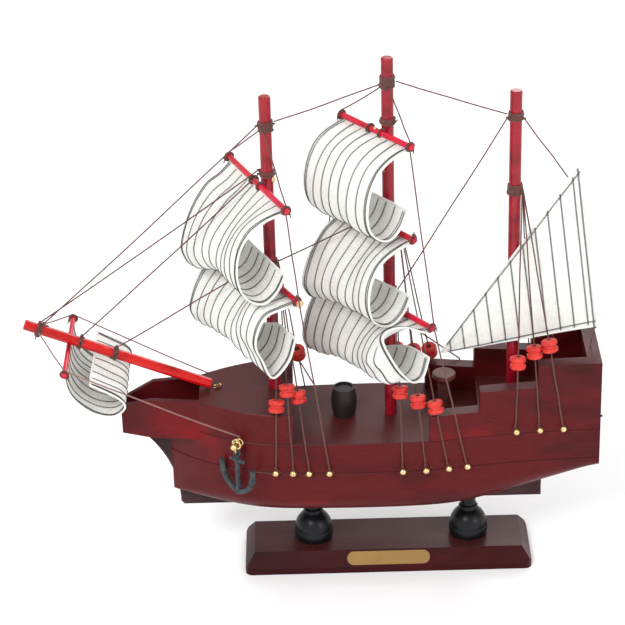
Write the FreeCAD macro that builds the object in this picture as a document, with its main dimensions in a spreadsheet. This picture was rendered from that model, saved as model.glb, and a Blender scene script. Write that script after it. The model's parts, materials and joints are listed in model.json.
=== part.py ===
import FreeCAD, Part
import math
import os
from FreeCAD import Placement, Rotation, Vector

# A three-masted display ship on a bevelled wooden base, in millimetres.
# X runs aft, Y to starboard and Z up. The origin is the middle of the base's underside.

doc = FreeCAD.newDocument("model_ship")

# ---------------------------------------------------------------- driving sizes
SIZES = {
    # base and spindles
    "base_length": 123.0, "base_width": 32.4, "base_edge": 2.9, "base_bevel_rise": 6.2,
    "base_bevel_inset": 4.1, "base_corner": 3.0,
    "plate_length": 35.5, "plate_width": 5.8, "plate_thickness": 0.5,
    "spindle_foot_radius": 8.3, "spindle_ring_radius": 4.2, "spindle_neck_radius": 3.2,
    "spindle_front_x": -31.8, "spindle_rear_x": 35.0,
    # hull boards
    "keel_bottom": 28.0, "keel_thickness": 3.0, "keel_stern_x": 66.0,
    "hull_bottom": 34.5, "lower_board_top": 56.0, "board_height": 14.0, "board_bevel": 0.45,
    "board_gap": 0.1,
    "bow_x": -91.0, "stern_x": 88.5, "hull_half_beam": 25.4, "stern_half_width": 18.0,
    "bilge_radius": 10.0, "run_start_x": 25.0, "run_rise": 17.0,
    "forecastle_front_x": -78.0, "forecastle_aft_x": -39.0,
    "beak_tip_x": -111.0, "beak_tip_half_width": 4.4, "beak_knee_x": -98.0,
    "beak_floor_height": 4.0, "beak_rail_thickness": 2.4, "beak_rail_height": 14.0,
    "beak_tip_rail_height": 8.4,
    "bulwark_thickness": 5.8, "bulwark_front_x": 17.5, "bulwark_middle_x": 38.2,
    "bulwark_rear_x": 62.3, "bulwark_low": 11.8, "bulwark_middle": 21.0, "bulwark_high": 31.2,
    "quarterdeck_height": 8.0,
    # deck fittings
    "capstan_x": 24.5, "capstan_height": 18.6, "capstan_head_radius": 4.9,
    "capstan_shank_radius": 2.9,
    "barrel_x": -17.5, "barrel_height": 13.0, "barrel_belly_radius": 5.4,
    "barrel_end_radius": 4.5, "barrel_lip": 0.8, "barrel_sunk": 0.7,
    # spars
    "mast_radius": 2.5, "mast_socket_depth": 6.0, "socket_clearance": 0.05,
    "fore_mast_x": -46.4, "main_mast_x": 2.1, "mizzen_mast_x": 53.0,
    "fore_mast_top": 216.1, "main_mast_top": 231.2, "mizzen_mast_top": 215.8,
    "bowsprit_radius": 2.2, "bowsprit_root_x": -73.0, "bowsprit_length": 82.0,
    "bowsprit_rise": 22.0,
    "yard_radius": 1.25, "sprit_yard_radius": 1.1, "sprit_yard_length": 51.0,
    "fore_brace_angle": 24.0, "fore_lower_brace_angle": 28.0, "main_brace_angle": 38.0,
    "fore_upper_yard_z": 178.4, "fore_lower_yard_z": 139.0,
    "main_upper_yard_z": 200.0, "main_middle_yard_z": 160.0, "main_lower_yard_z": 124.5,
    "fore_upper_yard_length": 60.0, "fore_lower_yard_length": 67.0,
    "main_upper_yard_length": 45.0, "main_middle_yard_length": 48.0,
    "main_lower_yard_length": 70.0,
    "spar_clearance": 0.05,
    # sails and threads
    "sail_thickness": 0.4, "sail_margin": 2.2, "sail_gap": 0.1,
    "thread_radius": 0.28, "thread_gap": 0.3,
    "bead_radius": 3.3, "bead_height": 5.4, "bead_bore_radius": 1.1,
    "pin_head_radius": 1.4, "pin_shank_radius": 0.45, "pin_reach": 1.1,
    "pin_rise": 1.7, "pin_seat": 0.15,
    # anchors
    "anchor_x": -61.0, "anchor_pin_drop": 1.6, "anchor_height": 19.8,
    "anchor_half_width": 8.1, "anchor_arm_rise": 12.9, "anchor_wire": 1.0, "anchor_gap": 4.6,
    "anchor_turn": 20.0, "link_radius": 1.5, "link_wire": 0.36,
}
sheet = doc.addObject("Spreadsheet::Sheet", "Sizes")
for row, (alias, value) in enumerate(SIZES.items(), start=1):
    sheet.set(f"A{row}", alias)
    sheet.set(f"B{row}", str(value))
    sheet.setAlias(f"B{row}", alias)
doc.recompute()


class Named:
    """The sheet's values, read by their aliases."""

    def __getattr__(self, alias):
        return float(sheet.get(alias))


S = Named()
PIECES = []          # the sub-parts, in the order they are made


def cell(alias):
    return f"Sizes.{alias}"


def keep(piece, label):
    """Names a sub-part and lists it for writing."""
    piece.Label = label
    PIECES.append(piece)
    return piece


def feature(label, shape):
    """A sub-part whose shape neither a sketch nor a primitive gives."""
    piece = doc.addObject("Part::Feature", label)
    piece.Shape = shape
    return keep(piece, label)


def bind(piece, **cells):
    for name, expression in cells.items():
        piece.setExpression(name, expression)
    return piece


def primitive(kind, place=None, **cells):
    """A Part primitive with its sizes bound to the sheet."""
    piece = bind(doc.addObject(f"Part::{kind}", kind), **cells)
    if place:
        piece.Placement = place
    return piece


def boolean(kind, base, tool):
    piece = doc.addObject(f"Part::{kind}", kind)
    piece.Base = base
    piece.Tool = tool
    return piece


def plane(body, role):
    return next(f for f in body.Origin.OriginFeatures if f.Role == role)


def sketch(body, role, edges, height=0.0):
    """A sketch of the edges on one of the body's origin planes, raised along its normal."""
    drawn = body.newObject("Sketcher::SketchObject", "Outline")
    drawn.AttachmentSupport = [(plane(body, role), "")]
    drawn.MapMode = "FlatFace"
    drawn.AttachmentOffset = Placement(Vector(0, 0, height), Rotation())
    for edge in edges:
        drawn.addGeometry(edge, False)
    return drawn


def pad(label, edges, length, height=0.0, role="XY_Plane", middle=False):
    """A body with one outline padded by a sheet expression."""
    body = doc.addObject("PartDesign::Body", label)
    outline = sketch(body, role, edges, height)
    raised = body.newObject("PartDesign::Pad", "Board")
    raised.Profile = outline
    raised.setExpression("Length", length)
    if middle:
        raised.SideType = "Symmetric"
    outline.Visibility = False
    return body


def pocket(body, role, edges, height=0.0, depth=None):
    """A pocket cut from the body: through all both ways, or to a depth below its plane."""
    outline = sketch(body, role, edges, height)
    cut = body.newObject("PartDesign::Pocket", "Cut")
    cut.Profile = outline
    if depth:
        cut.setExpression("Length", depth)
    else:
        cut.SideType = "Symmetric"
        cut.Type = "ThroughAll"
    return cut


def polygon(points):
    """Straight edges round the points, given as pairs."""
    corners = [Vector(u, v, 0) for u, v in points]
    return [Part.LineSegment(a, b) for a, b in zip(corners, corners[1:] + corners[:1])]


def disc(x, y, radius):
    return [Part.Circle(Vector(x, y, 0), Vector(0, 0, 1), radius)]


def revolved(label, profile, place=None):
    """A turned piece: the profile's (radius, height) edges revolved about Z."""
    body = doc.addObject("PartDesign::Body", label)
    outline = sketch(body, "XZ_Plane", profile)
    turned = body.newObject("PartDesign::Revolution", "Turned")
    turned.Profile = outline
    turned.ReferenceAxis = (outline, ["V_Axis"])
    turned.Angle = 360.0
    if place:
        body.Placement = place
    return body


def aim(direction):
    """The turn that brings Z to the direction."""
    return Rotation(Vector(0, 0, 1), direction)


# ---------------------------------------------------------------- hull plan
# One side of the hull's plan is three arcs: bow, waist and quarter, each by three points.
stem_half = S.keel_thickness / 2
shoulder = Vector(-50.0, 0.93 * S.hull_half_beam, 0)
quarter = Vector(20.0, 0.965 * S.hull_half_beam, 0)
SIDE = [
    Part.ArcOfCircle(Vector(S.bow_x, stem_half, 0), Vector(-72.5, 0.6 * S.hull_half_beam, 0),
                     shoulder),
    Part.ArcOfCircle(shoulder, Vector(-15.0, S.hull_half_beam, 0), quarter),
    Part.ArcOfCircle(quarter, Vector(46.0, 0.815 * S.hull_half_beam, 0),
                     Vector(S.stern_x, S.stern_half_width, 0)),
]
BREAKS = [S.bow_x, shoulder.x, quarter.x, S.stern_x]


def half_width(x, inset=0.0):
    """The hull's half width at x, taken in by the inset square to the side."""
    part = 0 if x <= BREAKS[1] else 1 if x <= BREAKS[2] else 2
    centre, radius = SIDE[part].Center, SIDE[part].Radius
    sign = 1 if centre.y < S.hull_half_beam else -1
    return centre.y + sign * math.sqrt((radius - sign * inset) ** 2 - (x - centre.x) ** 2)


def side_angle(x):
    """The side's heading at x, in degrees from X."""
    step = 0.5
    return math.degrees(math.atan2(half_width(x + step) - half_width(x - step), 2 * step))


def side_arcs(start, end, inset, side):
    """The side's arcs from start to end, on side -1 (port) or +1 (starboard)."""
    stops = [start] + [b for b in BREAKS[1:3] if start < b < end] + [end]
    arcs = []
    for a, b in zip(stops, stops[1:]):
        ends = [Vector(x, side * half_width(x, inset), 0) for x in (a, (a + b) / 2, b)]
        arcs.append(Part.ArcOfCircle(*ends))
    return arcs


def plan(start, end, inset=0.0):
    """The closed plan of a board between two stations."""
    near, far = half_width(start, inset), half_width(end, inset)
    closing = [Part.LineSegment(Vector(x, -y, 0), Vector(x, y, 0))
               for x, y in ((start, near), (end, far))]
    return side_arcs(start, end, inset, 1) + side_arcs(start, end, inset, -1) + closing


deck_z = S.lower_board_top + S.board_height          # main deck
forecastle_z = deck_z + S.board_height               # forecastle's top
quarterdeck_z = deck_z + S.quarterdeck_height


# ---------------------------------------------------------------- base
def make_base():
    half_x, half_y = S.base_length / 2, S.base_width / 2
    top = S.base_edge + S.base_bevel_rise

    def frame(x, y, z):
        corners = [Vector(sx * x, sy * y, z) for sx, sy in ((-1, -1), (1, -1), (1, 1), (-1, 1))]
        return Part.makePolygon(corners + corners[:1])

    inset_x, inset_y = half_x - S.base_bevel_inset, half_y - S.base_bevel_inset
    foot = Part.makeBox(S.base_length, S.base_width, S.base_edge, Vector(-half_x, -half_y, 0))
    bevel = Part.makeLoft([frame(half_x, half_y, S.base_edge), frame(inset_x, inset_y, top)],
                          True, True)
    blank = doc.addObject("Part::Feature", "base_blank")
    blank.Shape = foot.fuse(bevel).removeSplitter()
    box = primitive("Box", Placement(Vector(-half_x, -half_y, 0), Rotation()),
                    Length=cell("base_length"), Width=cell("base_width"),
                    Height=f"{cell('base_edge')} + {cell('base_bevel_rise')}")
    doc.recompute()
    rounded = doc.addObject("Part::Fillet", "rounded_corners")
    rounded.Base = box
    rounded.Edges = [(i, S.base_corner, S.base_corner)
                     for i, e in enumerate(box.Shape.Edges, start=1)
                     if abs(e.BoundBox.ZLength - top) < 0.01]
    keep(boolean("Common", blank, rounded), "base_board")
    slope = math.degrees(math.atan2(S.base_bevel_rise, S.base_bevel_inset))
    straight = (S.plate_length - S.plate_width) / 2
    half = S.plate_width / 2
    stadium = [
        Part.LineSegment(Vector(-straight, -half, 0), Vector(straight, -half, 0)),
        Part.ArcOfCircle(Vector(straight, -half, 0), Vector(straight + half, 0, 0),
                         Vector(straight, half, 0)),
        Part.LineSegment(Vector(straight, half, 0), Vector(-straight, half, 0)),
        Part.ArcOfCircle(Vector(-straight, half, 0), Vector(-straight - half, 0, 0),
                         Vector(-straight, -half, 0)),
    ]
    plate = keep(pad("nameplate", stadium, cell("plate_thickness")), "nameplate")
    middle = Vector(0, -half_y + S.base_bevel_inset / 2, S.base_edge + S.base_bevel_rise / 2)
    plate.Placement = Placement(middle, Rotation(Vector(1, 0, 0), slope))


def make_spindle(label, x):
    """A turned black spindle: a bell foot, a ring and a neck up to the keel."""
    foot, ring, neck = S.spindle_foot_radius, S.spindle_ring_radius, S.spindle_neck_radius
    low = S.base_edge + S.base_bevel_rise
    ring_z = S.keel_bottom - 6.6
    ring_top = ring_z + 2.2
    profile = [
        Part.LineSegment(Vector(0, low, 0), Vector(foot - 0.7, low, 0)),
        Part.ArcOfCircle(Vector(foot - 0.7, low, 0), Vector(foot, low + 2.2, 0),
                         Vector(foot - 0.3, low + 4.8, 0)),
        Part.ArcOfCircle(Vector(foot - 0.3, low + 4.8, 0),
                         Vector((foot + neck) / 2 + 1.1, ring_z - 3.1, 0),
                         Vector(neck + 0.6, ring_z, 0)),
        Part.LineSegment(Vector(neck + 0.6, ring_z, 0), Vector(ring - 0.3, ring_z, 0)),
        Part.ArcOfCircle(Vector(ring - 0.3, ring_z, 0), Vector(ring, (ring_z + ring_top) / 2, 0),
                         Vector(ring - 0.5, ring_top, 0)),
        Part.LineSegment(Vector(ring - 0.5, ring_top, 0), Vector(neck, ring_top + 0.4, 0)),
        Part.LineSegment(Vector(neck, ring_top + 0.4, 0), Vector(neck, S.keel_bottom, 0)),
        Part.LineSegment(Vector(neck, S.keel_bottom, 0), Vector(0, S.keel_bottom, 0)),
        Part.LineSegment(Vector(0, S.keel_bottom, 0), Vector(0, low, 0)),
    ]
    keep(revolved(label, profile, Placement(Vector(x, 0, 0), Rotation())), label)


# ---------------------------------------------------------------- hull
def hull_station(x):
    """The lower board's section at x: flat bottom, round bilges and bevelled top edges."""
    wide = half_width(x)
    run = max(0.0, (x - S.run_start_x) / (S.stern_x - S.run_start_x))
    bow = max(0.0, (-60.0 - x) / (-60.0 - S.bow_x))
    low = S.hull_bottom + S.run_rise * run ** 1.6 + 1.5 * bow ** 2
    top, bevel = S.lower_board_top, S.board_bevel
    bilge = min(S.bilge_radius, 0.62 * wide, 0.8 * (top - bevel - low))
    bend = bilge * (1 - math.sqrt(0.5))

    def side(sign):
        return [Vector(x, sign * (wide - bevel), top), Vector(x, sign * wide, top - bevel),
                Vector(x, sign * wide, low + bilge),
                Vector(x, sign * (wide - bend), low + bend), Vector(x, sign * (wide - bilge), low)]

    port, starboard = side(-1), side(1)
    edges = []
    for a, b, c, d, e in (port, starboard):
        edges.append([Part.LineSegment(a, b), Part.LineSegment(b, c), Part.ArcOfCircle(c, d, e)])
    loop = edges[0] + [Part.LineSegment(port[4], starboard[4])] + edges[1][::-1]
    loop.append(Part.LineSegment(starboard[0], port[0]))
    return Part.Wire(Part.__sortEdges__([edge.toShape() for edge in loop]))


def stations(start, end):
    """The section places between start and end, close together at the bow's turn."""
    count = max(4, round((end - start) / 15.0) + 1)
    spread = [start + (end - start) * i / (count - 1) for i in range(count)]
    return spread[:1] + [(2 * spread[0] + spread[1]) / 3] + spread[1:]


def board_station(x, low, high):
    """A board's section at x: its full width, with small bevels along its edges."""
    wide, bevel = half_width(x), S.board_bevel
    corners = [(wide - bevel, low), (wide, low + bevel), (wide, high - bevel),
               (wide - bevel, high)]
    corners += [(-y, z) for y, z in corners[::-1]]
    points = [Vector(x, y, z) for y, z in corners]
    return Part.makePolygon(points + points[:1])


def board(label, start, end, low, mast=None):
    """A hull board with bevelled edges, bored for a mast's foot if it carries one."""
    high = low + S.board_height
    sections = [board_station(x, low, high) for x in stations(start, end)]
    shape = Part.makeLoft(sections, True, False)
    if mast is not None:
        socket = Part.makeCylinder(S.mast_radius + S.socket_clearance, S.mast_socket_depth,
                                   Vector(mast, 0, high - S.mast_socket_depth))
        shape = shape.cut(socket)
    return feature(label, shape)


def make_hull():
    sections = [hull_station(x) for x in stations(S.bow_x, S.stern_x)]
    lower = feature("lower_hull", Part.makeLoft(sections, True, False))
    upper = board("upper_hull", S.bow_x, S.stern_x, S.lower_board_top, S.main_mast_x)
    board("forecastle_block", S.forecastle_front_x, S.forecastle_aft_x, deck_z, S.fore_mast_x)
    poop = pad("quarterdeck_block",
               plan(S.bulwark_middle_x, S.stern_x - S.bulwark_thickness - S.board_gap,
                    S.bulwark_thickness + S.board_gap),
               cell("quarterdeck_height"), deck_z)
    pocket(poop, "XY_Plane", disc(S.mizzen_mast_x, 0, S.mast_radius + S.socket_clearance),
           quarterdeck_z, cell("mast_socket_depth"))
    keep(poop, "quarterdeck_block")
    return lower, upper


def make_bulwark(label, side):
    """A stepped bulwark from the well deck to the stern."""
    start, end = S.bulwark_front_x, S.stern_x
    inner = S.bulwark_thickness
    closing = [Part.LineSegment(Vector(x, side * half_width(x, inner), 0),
                                Vector(x, side * half_width(x), 0)) for x in (start, end)]
    strip = side_arcs(start, end, 0.0, side) + side_arcs(start, end, inner, side) + closing
    body = pad(label, strip, cell("bulwark_high"), deck_z)
    low, middle, high = (deck_z + rise for rise in
                         (S.bulwark_low, S.bulwark_middle, S.bulwark_high + 1))
    front = start - 1
    steps = [(front, low), (S.bulwark_middle_x, low), (S.bulwark_middle_x, middle),
             (S.bulwark_rear_x, middle), (S.bulwark_rear_x, high), (front, high)]
    pocket(body, "XZ_Plane", polygon(steps))
    keep(body, label)


def make_transom():
    start = S.stern_x - S.bulwark_thickness
    keep(pad("transom", plan(start, S.stern_x, S.bulwark_thickness + S.board_gap),
             cell("bulwark_high"), deck_z), "transom")


def beak_side(side, inset=0.0):
    """The beak's plan points from its tip to the forecastle, on one side."""
    wide = half_width(S.forecastle_front_x)
    knee = S.beak_tip_half_width + 0.64 * (wide - S.beak_tip_half_width)
    return [(x, side * (y - inset)) for x, y in
            ((S.beak_tip_x, S.beak_tip_half_width), (S.beak_knee_x, knee),
             (S.forecastle_front_x, wide))]


def make_beak(upper):
    """The platform ahead of the forecastle, with a rail on each side."""
    outline = polygon(beak_side(-1) + beak_side(1)[::-1])
    floor = pad("beakhead_blank", outline, cell("beak_floor_height"),
                deck_z - S.beak_floor_height)
    keep(boolean("Cut", floor, upper), "beakhead_floor")
    for label, side in (("beakhead_rail_port", -1), ("beakhead_rail_starboard", 1)):
        strip = polygon(beak_side(side) + beak_side(side, S.beak_rail_thickness)[::-1])
        rail = pad(label, strip, cell("beak_rail_height"), deck_z)
        high = deck_z + S.beak_rail_height
        tip = S.beak_tip_x - 1
        pocket(rail, "XZ_Plane", polygon([(tip, deck_z + S.beak_tip_rail_height),
                                          (S.beak_knee_x, high), (S.beak_knee_x, high + 1),
                                          (tip, high + 1)]))
        keep(rail, label)


def make_keel(lower):
    """The flat keel board: a curved stem under the beak and a straight keel."""
    under = deck_z - S.beak_floor_height
    low, bow = S.keel_bottom, S.bow_x
    start, mid, foot = Vector(bow - 13.5, under, 0), Vector(bow - 1.8, 50.5, 0), \
        Vector(bow + 2.7, low + 1.6, 0)
    inner = S.hull_bottom + 8
    edges = [Part.ArcOfCircle(start, mid, foot)]
    corners = [foot, Vector(bow + 4.0, low, 0), Vector(S.keel_stern_x, low, 0),
               Vector(S.keel_stern_x, inner, 0), Vector(bow, inner, 0), Vector(bow, under, 0),
               start]
    edges += [Part.LineSegment(a, b) for a, b in zip(corners, corners[1:])]
    board = pad("keel_blank", edges, cell("keel_thickness"), role="XZ_Plane", middle=True)
    keep(boolean("Cut", board, lower), "keel_board")


# ---------------------------------------------------------------- deck fittings
def make_fittings():
    head, shank = S.capstan_head_radius, S.capstan_shank_radius
    top = deck_z + S.capstan_height
    rim = 2.2
    profile = polygon([(0, deck_z), (shank + 0.9, deck_z), (shank, deck_z + 2.2),
                       (shank - 0.4, top - rim - 2.4), (shank + 0.8, top - rim - 0.6),
                       (head - 0.5, top - rim), (head, top - rim + 0.5), (head, top - 0.4),
                       (head - 0.4, top), (0, top)])
    keep(revolved("capstan", profile, Placement(Vector(S.capstan_x, 0, 0), Rotation())),
         "capstan")
    half, end, belly = S.barrel_height / 2, S.barrel_end_radius, S.barrel_belly_radius
    lip, sunk = S.barrel_lip, S.barrel_sunk
    stave = [
        Part.LineSegment(Vector(0, -half, 0), Vector(end, -half, 0)),
        Part.ArcOfCircle(Vector(end, -half, 0), Vector(belly, 0, 0), Vector(end, half, 0)),
        Part.LineSegment(Vector(end, half, 0), Vector(end - lip, half, 0)),
        Part.LineSegment(Vector(end - lip, half, 0), Vector(end - lip, half - sunk, 0)),
        Part.LineSegment(Vector(end - lip, half - sunk, 0), Vector(0, half - sunk, 0)),
        Part.LineSegment(Vector(0, half - sunk, 0), Vector(0, -half, 0)),
    ]
    standing = Placement(Vector(S.barrel_x, 0, deck_z + half), Rotation())
    keep(revolved("deck_barrel", stave, standing), "deck_barrel")
    wire = S.anchor_wire / 2
    pins = [Part.makeCylinder(wire, 1.6, Vector(S.stern_x, y, deck_z + 1.8), Vector(1, 0, 0))
            for y in (-10.5, 10.5)]
    feature("transom_pins", Part.makeCompound(pins))


# ---------------------------------------------------------------- spars
def dowel(label, radius, length, place):
    """A round spar with eased ends; radius and length are sheet expressions."""
    rod = primitive("Cylinder", place, Radius=radius, Height=length)
    doc.recompute()
    eased = doc.addObject("Part::Fillet", "eased_ends")
    eased.Base = rod
    ease = 0.3 * rod.Radius.Value
    eased.Edges = [(i, ease, ease) for i, e in enumerate(rod.Shape.Edges, start=1)
                   if e.BoundBox.DiagonalLength < 3 * rod.Radius.Value]
    return keep(eased, label)


MASTS = {
    "fore": (S.fore_mast_x, forecastle_z, S.fore_mast_top),
    "main": (S.main_mast_x, deck_z, S.main_mast_top),
    "mizzen": (S.mizzen_mast_x, quarterdeck_z, S.mizzen_mast_top),
}
RISE = math.radians(S.bowsprit_rise)
SPRIT_AXIS = Vector(-math.cos(RISE), 0, math.sin(RISE))
SPRIT_ROOT = Vector(S.bowsprit_root_x, 0, forecastle_z + S.bowsprit_radius * math.cos(RISE))


def on_bowsprit(x):
    """The point of the bowsprit's axis at x."""
    return SPRIT_ROOT + SPRIT_AXIS * ((x - SPRIT_ROOT.x) / SPRIT_AXIS.x)


def make_masts():
    for name, (x, foot, top) in MASTS.items():
        low = foot - S.mast_socket_depth
        dowel(f"{name}_mast", cell("mast_radius"), f"{top - low}",
              Placement(Vector(x, 0, low), Rotation()))
    dowel("bowsprit", cell("bowsprit_radius"), cell("bowsprit_length"),
          Placement(SPRIT_ROOT, aim(SPRIT_AXIS)))


class Yard:
    """A spar across a mast: its middle, its direction to port and its way forward."""

    def __init__(self, mast, angle, height, length):
        turn = math.radians(angle)
        self.along = Vector(math.sin(turn), -math.cos(turn), 0)
        self.ahead = Vector(-math.cos(turn), -math.sin(turn), 0)
        reach = (S.mast_radius + S.yard_radius + S.spar_clearance) / math.cos(turn)
        self.middle = Vector(MASTS[mast][0] - reach, 0, height)
        self.length = length
        self.radius = S.yard_radius

    def at(self, distance):
        return self.middle + self.along * distance


YARDS = {
    "fore_upper": Yard("fore", S.fore_brace_angle, S.fore_upper_yard_z, S.fore_upper_yard_length),
    "fore_lower": Yard("fore", S.fore_lower_brace_angle, S.fore_lower_yard_z,
                       S.fore_lower_yard_length),
    "main_upper": Yard("main", S.main_brace_angle, S.main_upper_yard_z, S.main_upper_yard_length),
    "main_middle": Yard("main", S.main_brace_angle, S.main_middle_yard_z,
                        S.main_middle_yard_length),
    "main_lower": Yard("main", S.main_brace_angle, S.main_lower_yard_z, S.main_lower_yard_length),
}
sprit = Yard("fore", 0.0, 0.0, S.sprit_yard_length)
sprit.radius = S.sprit_yard_radius
under_sprit = Vector(math.sin(RISE), 0, math.cos(RISE)) * -(
    S.bowsprit_radius + S.sprit_yard_radius + S.spar_clearance)
sprit_crossing = on_bowsprit(-130.0)
sprit.middle = sprit_crossing + under_sprit
YARDS["sprit"] = sprit


def make_yards():
    for name, yard in YARDS.items():
        radius = "sprit_yard_radius" if name == "sprit" else "yard_radius"
        dowel(f"{name}_yard", cell(radius), cell(f"{name}_yard_length"),
              Placement(yard.at(-yard.length / 2), aim(yard.along)))


# ---------------------------------------------------------------- sails
# Each profile is a sail's section square to its yard, from the yard to the foot, as shares of
# the sail's depth ahead of the yard and its drop below it.
CURL = [(0, 0), (.24, -.02), (.5, -.07), (.75, -.17), (.94, -.36), (1, -.6), (.92, -.82),
        (.7, -.96), (.45, -1), (.2, -.9), (.03, -.72)]
PRESSED = [(0, 0), (.2, -.12), (.45, -.27), (.68, -.43), (.83, -.6), (.85, -.78), (.7, -.93),
           (.48, -.98), (.22, -.9), (.06, -.72)]
BELLY = [(0, 0), (.22, -.1), (.48, -.18), (.73, -.35), (.9, -.54), (1, -.74), (.97, -.87),
         (.8, -1), (.5, -.93), (.25, -.8), (.06, -.62)]
LEAF = [(0, 0), (.36, -.02), (.72, -.07), (.93, -.25), (1, -.47), (.86, -.7), (.74, -.92),
        (.6, -1), (.4, -.94), (.18, -.78), (.04, -.5)]
RISING = [(0, 0), (.15, .03), (.5, .28), (.86, .38), (1, .28), (.97, .06), (.82, -.28),
          (.57, -.74), (.36, -1), (.16, -.98), (.02, -.6)]
ROLL = [(0, 0), (.03, -.34), (.17, -.65), (.48, -.93), (.8, -1), (1, -.8), (.93, -.6),
        (.7, -.42), (.42, -.24)]


def profile_points(yard, distance, ahead, profile, depth, drop):
    start = yard.at(distance) - Vector(0, 0, yard.radius + S.sail_thickness / 2 + S.sail_gap)
    return [start + ahead * (s * depth) + Vector(0, 0, z * drop) for s, z in profile]


def sail_section(points, along):
    """A thin closed section: the profile's curve with half the cloth on each side of it."""
    curve = Part.BSplineCurve()
    curve.interpolate(points)
    half = S.sail_thickness / 2
    sides = []
    for sign in (1, -1):
        shifted = []
        for point in points:
            tangent = curve.tangent(curve.parameter(point))[0]
            shifted.append(point + tangent.cross(along).normalize() * (sign * half))
        side = Part.BSplineCurve()
        side.interpolate(shifted)
        sides.append((side.toShape(), shifted))
    (outer, out), (inner, into) = sides
    ends = [Part.LineSegment(out[i], into[i]).toShape() for i in (-1, 0)]
    return Part.Wire([outer, ends[0], inner, ends[1]])


def square_sail(label, name, ahead, stations):
    """A sail lofted from port to starboard: (share of the reach, profile, depth, drop) each."""
    yard = YARDS[name]
    reach = yard.length / 2 - S.sail_margin
    sections = [
        sail_section(profile_points(yard, share * reach, ahead, *shape), yard.along)
        for share, *shape in stations
    ]
    feature(label, Part.makeLoft(sections, True, False))


def make_sails():
    ahead = {name: yard.ahead for name, yard in YARDS.items()}
    square_sail("fore_upper_sail", "fore_upper", ahead["fore_upper"],
                [(1, CURL, 21.2, 38.0), (0, PRESSED, 24.0, 38.0), (-1, BELLY, 24.0, 43.0)])
    square_sail("fore_lower_sail", "fore_lower", ahead["fore_lower"],
                [(1, LEAF, 18.5, 31.0), (0.6, LEAF, 18.5, 31.0), (0, PRESSED, 20.0, 30.0),
                 (-1, BELLY, 18.2, 31.0)])
    square_sail("main_upper_sail", "main_upper", ahead["main_upper"],
                [(1, CURL, 21.2, 36.4), (0, CURL, 22.0, 36.4), (-1, CURL, 21.2, 36.4)])
    square_sail("main_middle_sail", "main_middle", ahead["main_middle"],
                [(1, CURL, 22.7, 33.6), (0, PRESSED, 24.0, 33.6), (-1, BELLY, 21.5, 35.0)])
    square_sail("main_lower_sail", "main_lower", ahead["main_lower"],
                [(1, RISING, 25.0, 20.6), (0.7, LEAF, 23.0, 24.0), (0, PRESSED, 18.0, 27.0),
                 (-1, BELLY, 13.6, 31.0)])
    square_sail("sprit_sail", "sprit", Vector(1, 0, 0),
                [(1, ROLL, 23.5, 19.5), (0, ROLL, 23.5, 19.5), (-1, ROLL, 23.5, 19.5)])
    side = -(S.mast_radius + S.sail_thickness + S.spar_clearance)
    mizzen = S.mizzen_mast_x
    corners = [Vector(mizzen + u, side, z) for u, z in
               ((-30.2, 99.5), (25.6, 184.0), (34.5, 110.5))]
    triangle = Part.Face(Part.makePolygon(corners + corners[:1]))
    feature("mizzen_sail", triangle.extrude(Vector(0, S.sail_thickness, 0)))


# ---------------------------------------------------------------- threads
def thread(points):
    """A taut thread: round runs between the points, with a slightly larger ball at each turn."""
    radius, swell = S.thread_radius, 1.08
    runs = [Part.makeCylinder(radius, (b - a).Length, a, b - a)
            for a, b in zip(points, points[1:])]
    turns = [Part.makeSphere(swell * radius, p) for p in points[1:-1]]
    solid = runs[0]
    for more in turns + runs[1:]:
        solid = solid.fuse(more)
    return solid


def band(centre, axis, inner, height):
    """A lashing: turns of thread wound round a spar, as one band."""
    low = centre - axis * (height / 2)
    outer = inner + 2 * S.thread_radius
    ring = Part.makeCylinder(outer, height, low, axis)
    return ring.cut(Part.makeCylinder(inner, height, low, axis))


def group(label, solids):
    return feature(label, Part.makeCompound(solids))


UP = Vector(0, 0, 1)
mast_skin = S.mast_radius + S.spar_clearance
wound = mast_skin + 2 * S.thread_radius            # outside of a lashing on a mast
LASHINGS = {                                        # mast: (height, length along the mast)
    "fore": [(203.3, 5.8), (S.fore_upper_yard_z + 4.3, 3.4), (S.fore_lower_yard_z + 4.0, 3.0)],
    "main": [(221.0, 6.7), (S.main_upper_yard_z + 4.3, 3.4), (S.main_middle_yard_z + 4.3, 3.4),
             (S.main_lower_yard_z + 4.0, 3.0)],
    "mizzen": [(205.0, 4.6), (173.0, 5.8)],
}


def on_mast(name, height, heading):
    """A point on the outside of a mast's lashing, at a heading in degrees from aft."""
    turn = math.radians(heading)
    reach = wound + S.thread_radius
    return Vector(MASTS[name][0] + reach * math.cos(turn), reach * math.sin(turn), height)


def make_lashings():
    group("mast_lashings",
          [band(Vector(MASTS[name][0], 0, z), UP, mast_skin, tall)
           for name, bands in LASHINGS.items() for z, tall in bands])
    skin = S.bowsprit_radius + S.spar_clearance
    group("bowsprit_lashings",
          [band(on_bowsprit(x), SPRIT_AXIS, skin, long)
           for x, long in ((-143.0, 3.2), (-126.5, 2.4), (-112.4, 3.0))])
    for ship, names in (("fore", ("fore_upper", "fore_lower")),
                        ("main", ("main_upper", "main_middle", "main_lower")),
                        ("sprit", ("sprit",))):
        bands = []
        for name in names:
            yard = YARDS[name]
            for side in (-1, 1):
                spot = yard.at(side * (yard.length / 2 - 1.4))
                bands.append(band(spot, yard.along, yard.radius + S.spar_clearance, 1.4))
        group(f"{ship}_yard_lashings", bands)


def yard_end(name, side):
    """Just outside the lashing at a yard's port (+1) or starboard (-1) end, on top."""
    yard = YARDS[name]
    lift = yard.radius + S.spar_clearance + 3 * S.thread_radius + 0.05
    return yard.at(side * (yard.length / 2 - 1.4)) + Vector(0, 0, lift)


def pin_spot(x, z, side):
    """Where a thread ends on a pin's shank, just outside the hull."""
    reach = half_width(x) + S.thread_radius + S.thread_gap
    return Vector(x, side * reach, z)


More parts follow.
